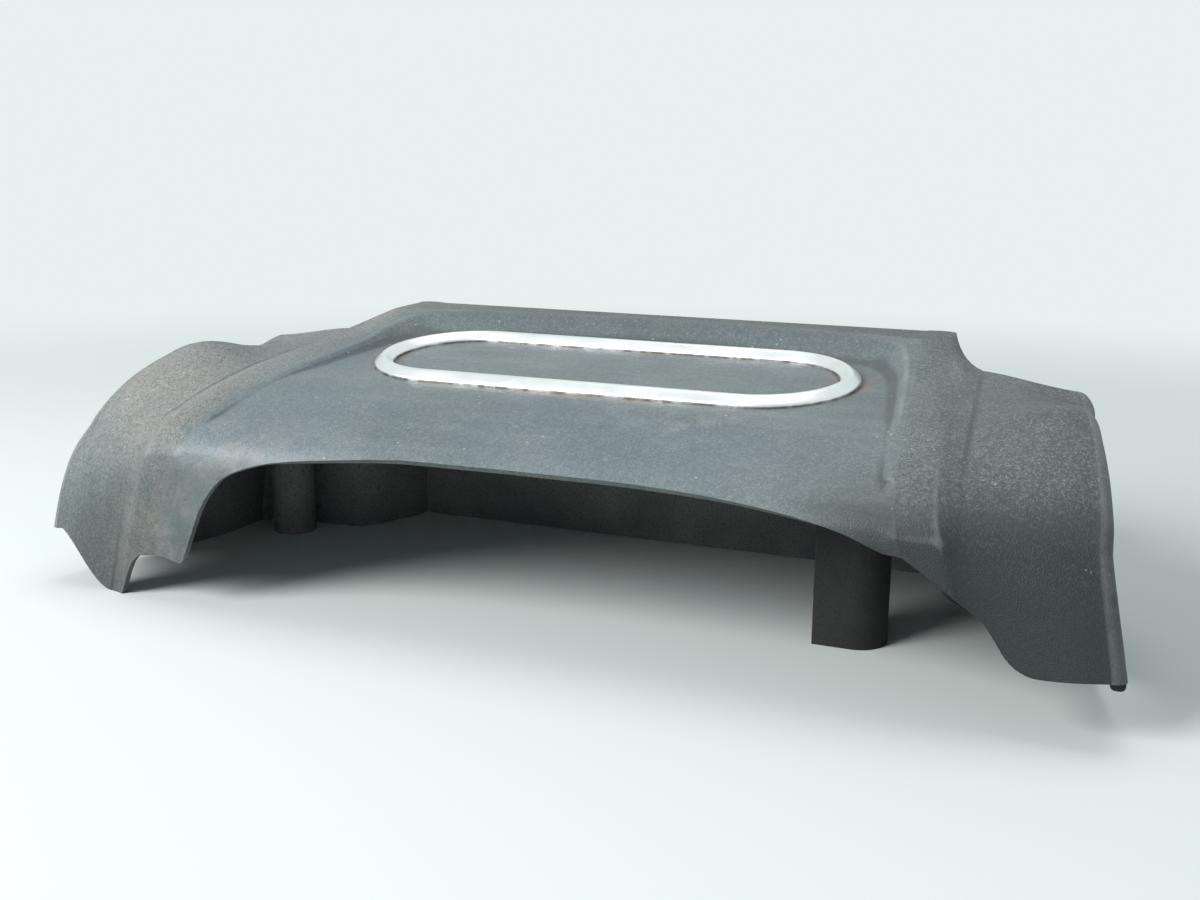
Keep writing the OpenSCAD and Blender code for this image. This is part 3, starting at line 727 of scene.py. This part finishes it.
def satin_metal():
    n = Nodes("trim_satin")
    colour = n.blend(rgb(0.80, 0.815, 0.82), rgb(0.87, 0.88, 0.88), n.ramp(n.noise(45, 5, 0.6), 0.35, 0.65))
    # Dirt sits low on the band, where it meets the panel
    fall = n.times(n.less(n.axis("Y"), TRIM_Y * MM), SUNK_FALL)
    above_panel = n.less(n.less(n.axis("Z"), SUNK_Z * MM), fall)
    low = n.ramp(above_panel, 0.0004, 0.0016, 1.0, 0.0)
    dirt = n.times(low, n.ramp(n.noise(160, 4, 0.6), 0.35, 0.6))
    n.set("Base Color", n.blend(colour, rgb(0.16, 0.12, 0.08), n.times(dirt, 0.8)))
    n.set("Metallic", 1.0)
    n.set("Roughness", n.ramp(n.noise(60, 3), 0.3, 0.7, 0.27, 0.33))
    return n.mat


def rubber():
    n = Nodes("grommet_rubber")
    cloud = n.ramp(n.noise(120, 4), 0.4, 0.7)
    n.set("Base Color", n.blend(rgb(0.012, 0.012, 0.012), rgb(0.03, 0.03, 0.028), cloud))
    n.set("Roughness", n.ramp(n.noise(260, 3), 0.3, 0.7, 0.6, 0.8))
    n.set("Normal", n.bump(n.noise(900, 3), 0.00008))
    return n.mat


# The moulded shell
def shell_sheet(mats):
    outer = sheet_outside()
    inwards = sheet_inwards(outer)
    inner = np.clip(outer + WALL * inwards, outer.min(axis=(0, 1)), outer.max(axis=(0, 1)))
    points = np.concatenate([outer.reshape(-1, 3), inner.reshape(-1, 3)]) * MM
    bend = np.concatenate([sheet_bend(outer, inwards).ravel(), np.zeros(outer.size // 3)])
    faces, zone = sheet_faces()
    used, faces = np.unique(np.array(faces), return_inverse=True)
    ob = make("shell_sheet", points[used], faces.reshape(-1, 4).tolist(), mats, zone)
    ridge = ob.data.attributes.new("ridge", "FLOAT", "POINT")
    ridge.data.foreach_set("value", bend[used].astype(np.float32))
    soften(ob, 0.0008, 60)
    return ob


shell_grain = plastic("moulded_grain", GRAIN_LOOK, False)
shell_satin = plastic("moulded_satin", SATIN_LOOK, True)
shell_under = dark_underside("moulded_under", 6.0)
# This copy with a low k is much darker: painted shade on the front tower and the ribs under the cover, and on
# the nub
shaded_tower_plastic = dark_underside("moulded_tower_shaded", 0.8)
shell = shell_sheet([shell_grain, shell_satin, shell_under])
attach(shell, "root")
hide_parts("cover_shell")

# Towers and ribs keep the shape of the CAD solid: they are copied from its mesh
REAR_TOWER_X, REAR_TOWER_Y, REAR_TOWER_REACH = 193.0, 18.0, 12.0
FRONT_TOWER_X, FRONT_TOWER_Y, FRONT_TOWER_REACH = 129.0, -30.0, (15.0, 13.2)
RIB_REACH, RIB_FRONT_Y, RIB_REAR_Y = 71.5, -47.0, 49.0
TOWER_LOW, UNDER_GAP = 90.0, 0.3


def is_fitting(centre, low):
    """Whether a face of the solid belongs to a tower or a rib; low is the height of its lowest corner."""
    x, y, z = centre[0], centre[1] - TRIM_Y, centre[2]
    if low < TOWER_LOW and math.hypot(abs(x) - REAR_TOWER_X, y - REAR_TOWER_Y) < REAR_TOWER_REACH:
        return True
    beside_x, beside_y = abs(x - FRONT_TOWER_X), abs(y - FRONT_TOWER_Y)
    if low < TOWER_LOW and beside_x < FRONT_TOWER_REACH[0] and beside_y < FRONT_TOWER_REACH[1]:
        return True
    under_panel = z < SUNK_Z + SUNK_FALL * y - WALL - UNDER_GAP
    return abs(x) < RIB_REACH and RIB_FRONT_Y < y < RIB_REAR_Y and under_panel


def shell_towers(mats):
    """The rear towers, which are far to the side, get the second material."""
    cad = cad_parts["cover_shell"].data
    corners = np.empty(len(cad.vertices) * 3)
    cad.vertices.foreach_get("co", corners)
    corners = corners.reshape(-1, 3) / MM
    points, faces, zone, seen = [], [], [], {}
    for polygon in cad.polygons:
        around = corners[list(polygon.vertices)]
        if not is_fitting(around.mean(axis=0), around[:, 2].min()):
            continue
        face = []
        for corner in around:
            key = tuple(np.round(corner, 3))
            if key not in seen:
                seen[key] = len(points)
                points.append(corner * MM)
            face.append(seen[key])
        if len(set(face)) == len(face):
            faces.append(face)
            zone.append(int(abs(around[:, 0].mean()) > REAR_TOWER_X - 2 * REAR_TOWER_REACH))
    ob = make("shell_towers", points, faces, mats, zone, 35)
    soften(ob, 0.0005, 50)
    return ob


fittings = shell_towers([shaded_tower_plastic, shell_under])
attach(fittings, "root")

# Small moulding nub left under the lower corner of the right skirt: middle and half sizes in mm
NUB_AT, NUB_SIZE, NUB_SQUARE = (239.6, -87.2, 24.2), (2.8, 1.4, 2.4), 0.7
NUB_RINGS, NUB_SIDES = 8, 16


def edge_nub(mat):
    points, faces = [], []
    for i in range(NUB_RINGS + 1):
        lat = math.pi * i / NUB_RINGS
        for k in range(NUB_SIDES):
            lon = 2 * math.pi * k / NUB_SIDES
            way = (math.sin(lat) * math.cos(lon), math.sin(lat) * math.sin(lon), math.cos(lat))
            points.append([(middle + reach * math.copysign(abs(u) ** NUB_SQUARE, u)) * MM
                           for middle, reach, u in zip(NUB_AT, NUB_SIZE, way)])
    for i in range(NUB_RINGS):
        for k in range(NUB_SIDES):
            a, b = i * NUB_SIDES + k, i * NUB_SIDES + (k + 1) % NUB_SIDES
            faces.append((a, b, b + NUB_SIDES, a + NUB_SIDES))
    return make("edge_nub", points, faces, [mat], None, 60)


# The nub takes the towers' darker tone, painted shade
nub = edge_nub(shaded_tower_plastic)
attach(nub, "root")

# Bright trim: a long rounded ring with a soft bevelled section, and the pins that hold it in the panel
ARC_STEPS, RUN_STEPS, CORNER_R = 64, 24, 0.9
TRIM_SIDE, TRIM_TOP_IN, TRIM_TOP_OUT = 0.3, 0.36, 0.58
PIN_R, PIN_TIP_R, PIN_IN, PIN_SIDES = 2.0, 1.5, 18.0, 24
PIN_HEIGHTS = (-6.0, -5.4, 0.2)


def round_corners(points, radius, steps=5):
    out = []
    for i, (p, r) in enumerate(zip(points, radius)):
        if r <= 0:
            out.append(p)
            continue
        a, c, b = np.array(points[i - 1]), np.array(p), np.array(points[i + 1])
        u, v = (a - c) / np.linalg.norm(a - c), (b - c) / np.linalg.norm(b - c)
        for k in range(steps + 1):
            t = k / steps
            out.append(tuple(c + u * r * (1 - t) ** 2 + v * r * t ** 2))
    return out


def trim_path(straight):
    """Centres of the ends' arcs and the way outwards, once round the ring."""
    path = []
    for side in (1, -1):
        for k in range(ARC_STEPS + 1):
            a = math.radians(-90 * side + 180 * k / ARC_STEPS)
            path.append((side * straight, (math.cos(a), math.sin(a))))
        for k in range(1, RUN_STEPS):
            path.append((side * straight * (1 - 2 * k / RUN_STEPS), (0.0, side)))
    return path


def add_pin(points, faces, place, x, y):
    base = len(points)
    for z in PIN_HEIGHTS:
        r = PIN_R if z > PIN_HEIGHTS[0] else PIN_TIP_R
        for k in range(PIN_SIDES):
            a = 2 * math.pi * k / PIN_SIDES
            points.append(place(x + r * math.cos(a), y + r * math.sin(a), z))
    for ring in range(len(PIN_HEIGHTS) - 1):
        for k in range(PIN_SIDES):
            a = base + ring * PIN_SIDES + k
            b = base + ring * PIN_SIDES + (k + 1) % PIN_SIDES
            faces.append((a, b, b + PIN_SIDES, a + PIN_SIDES))
    faces.append(tuple(base + k for k in reversed(range(PIN_SIDES))))


def trim_ring(mat):
    tilt = Matrix.Rotation(math.atan(SUNK_FALL), 4, "X")
    on_panel = Matrix.Translation((0, TRIM_Y * MM, SUNK_Z * MM)) @ tilt

    def place(x, y, z):
        return on_panel @ Vector((x * MM, y * MM, z * MM))

    low = TRIM_H * TRIM_SIDE
    corners = [(0, 0), (0, low), (TRIM_BAND * TRIM_TOP_IN, TRIM_H), (TRIM_BAND * TRIM_TOP_OUT, TRIM_H),
               (TRIM_BAND, low), (TRIM_BAND, 0)]
    section = round_corners(corners, [0] + [CORNER_R] * 4 + [0])
    straight = (TRIM_L - TRIM_W) / 2
    inside = TRIM_W / 2 - TRIM_BAND
    path = trim_path(straight)
    points = [place(x + nx * (inside + s), ny * (inside + s), z) for x, (nx, ny) in path for s, z in section]
    faces = []
    for i in range(len(path)):
        here, there = i * len(section), (i + 1) % len(path) * len(section)
        for k in range(len(section)):
            m = (k + 1) % len(section)
            faces.append((here + k, here + m, there + m, there + k))
    for x in (PIN_IN - straight, straight - PIN_IN):
        for y in (-(TRIM_W - TRIM_BAND) / 2, (TRIM_W - TRIM_BAND) / 2):
            add_pin(points, faces, place, x, y)
    return make("trim_ring", points, faces, [mat], None, 60)


trim = trim_ring(satin_metal())
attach(trim, "root")
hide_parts("badge_trim")

# The grommets are the CAD's own meshes with a rubber material
grommet_mat = rubber()
for name in ("grommet_front", "grommet_rear_left", "grommet_rear_right"):
    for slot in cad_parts[name].material_slots:
        slot.material = grommet_mat

# Floor that turns into the backdrop's colour far from the cover
BACK = (0.80, 0.875, 0.865)
FLOOR_TONE, FLOOR_HALF, FLOOR_FADE = (0.78, 0.85, 0.84), 9, (0.45, 1.3)


def floor_material():
    n = Nodes("pale_floor")
    n.set("Base Color", rgb(*FLOOR_TONE))
    n.set("Roughness", 0.9)
    n.set("Specular IOR Level", 0.1)
    x, y = n.axis("X"), n.axis("Y")
    far = n.math("SQRT", n.math("ADD", n.times(x, x), n.times(y, y)))
    glow = n.t.nodes.new("ShaderNodeEmission")
    glow.inputs["Color"].default_value = rgb(*BACK)
    join = n.t.nodes.new("ShaderNodeMixShader")
    n.put(join.inputs[0], n.ramp(far, *FLOOR_FADE))
    n.t.links.new(n.bsdf.outputs[0], join.inputs[1])
    n.t.links.new(glow.outputs[0], join.inputs[2])
    n.t.links.new(join.outputs[0], n.t.nodes["Material Output"].inputs["Surface"])
    return n.mat


def pale_floor():
    h = FLOOR_HALF
    me = bpy.data.meshes.new("floor")
    me.from_pydata([(-h, -h, 0), (h, -h, 0), (h, h, 0), (-h, h, 0)], [], [(0, 1, 2, 3)])
    me.materials.append(floor_material())
    ob = bpy.data.objects.new("floor", me)
    bpy.context.scene.collection.objects.link(ob)
    return ob


floor = pale_floor()


# Light: pale surroundings, a large soft lamp from the front left and a weak one from above
def studio_world():
    """Camera and glossy rays see the backdrop, all other rays a weak light."""
    world = bpy.data.worlds.new("studio")
    bpy.context.scene.world = world
    world.use_nodes = True
    t = world.node_tree
    light = t.nodes["Background"]
    light.inputs["Color"].default_value = rgb(0.93, 0.98, 1.0)
    light.inputs["Strength"].default_value = 0.3
    backdrop = t.nodes.new("ShaderNodeBackground")
    backdrop.inputs["Color"].default_value = rgb(*BACK)
    backdrop.inputs["Strength"].default_value = 1.0
    ray = t.nodes.new("ShaderNodeLightPath")
    either = t.nodes.new("ShaderNodeMath")
    either.operation = "MAXIMUM"
    t.links.new(ray.outputs["Is Camera Ray"], either.inputs[0])
    t.links.new(ray.outputs["Is Glossy Ray"], either.inputs[1])
    pick = t.nodes.new("ShaderNodeMixShader")
    t.links.new(either.outputs[0], pick.inputs[0])
    t.links.new(light.outputs[0], pick.inputs[1])
    t.links.new(backdrop.outputs[0], pick.inputs[2])
    t.links.new(pick.outputs[0], t.nodes["World Output"].inputs["Surface"])


def lamp(name, place, aim, size, power, colour):
    data = bpy.data.lights.new(name, "AREA")
    data.shape = "DISK"
    data.size = size
    data.energy = power
    data.color = colour
    ob = bpy.data.objects.new(name, data)
    ob.location = place
    ob.rotation_euler = (Vector(aim) - Vector(place)).to_track_quat("-Z", "Y").to_euler()
    bpy.context.scene.collection.objects.link(ob)


studio_world()
lamp("key", (-0.97, -1.5, 1.07), (-0.05, 0, 0.05), 1.1, 48, (1.0, 0.995, 0.985))
lamp("top", (0.1, 0.25, 1.8), (0, 0, 0.05), 1.4, 9, (0.97, 0.99, 1.0))

# Camera where the photograph was taken: place in m, angles in degrees, lens in mm
CAMERA_AT = (0.253679, -0.584346, 0.205942)
AZIMUTH, ELEVATION, ROLL = 23.13, 12.12, 0.5476
LENS, SENSOR = 42, 36


def photo_camera():
    az, el, roll = math.radians(AZIMUTH), math.radians(ELEVATION), math.radians(ROLL)
    forward = Vector((-math.sin(az) * math.cos(el), math.cos(az) * math.cos(el), -math.sin(el)))
    level = Vector((math.cos(az), math.sin(az), 0))
    sink = forward.cross(level)
    right = level * math.cos(roll) - sink * math.sin(roll)
    below = sink * math.cos(roll) + level * math.sin(roll)
    data = bpy.data.cameras.new("camera")
    data.sensor_width = SENSOR
    data.lens = LENS
    data.clip_start = 0.01
    ob = bpy.data.objects.new("camera", data)
    facing = Matrix((right, -below, -forward)).transposed().to_4x4()
    ob.matrix_world = Matrix.Translation(CAMERA_AT) @ facing
    bpy.context.scene.collection.objects.link(ob)
    return ob


bpy.context.scene.camera = photo_camera()
bpy.context.scene.view_settings.view_transform = "Standard"
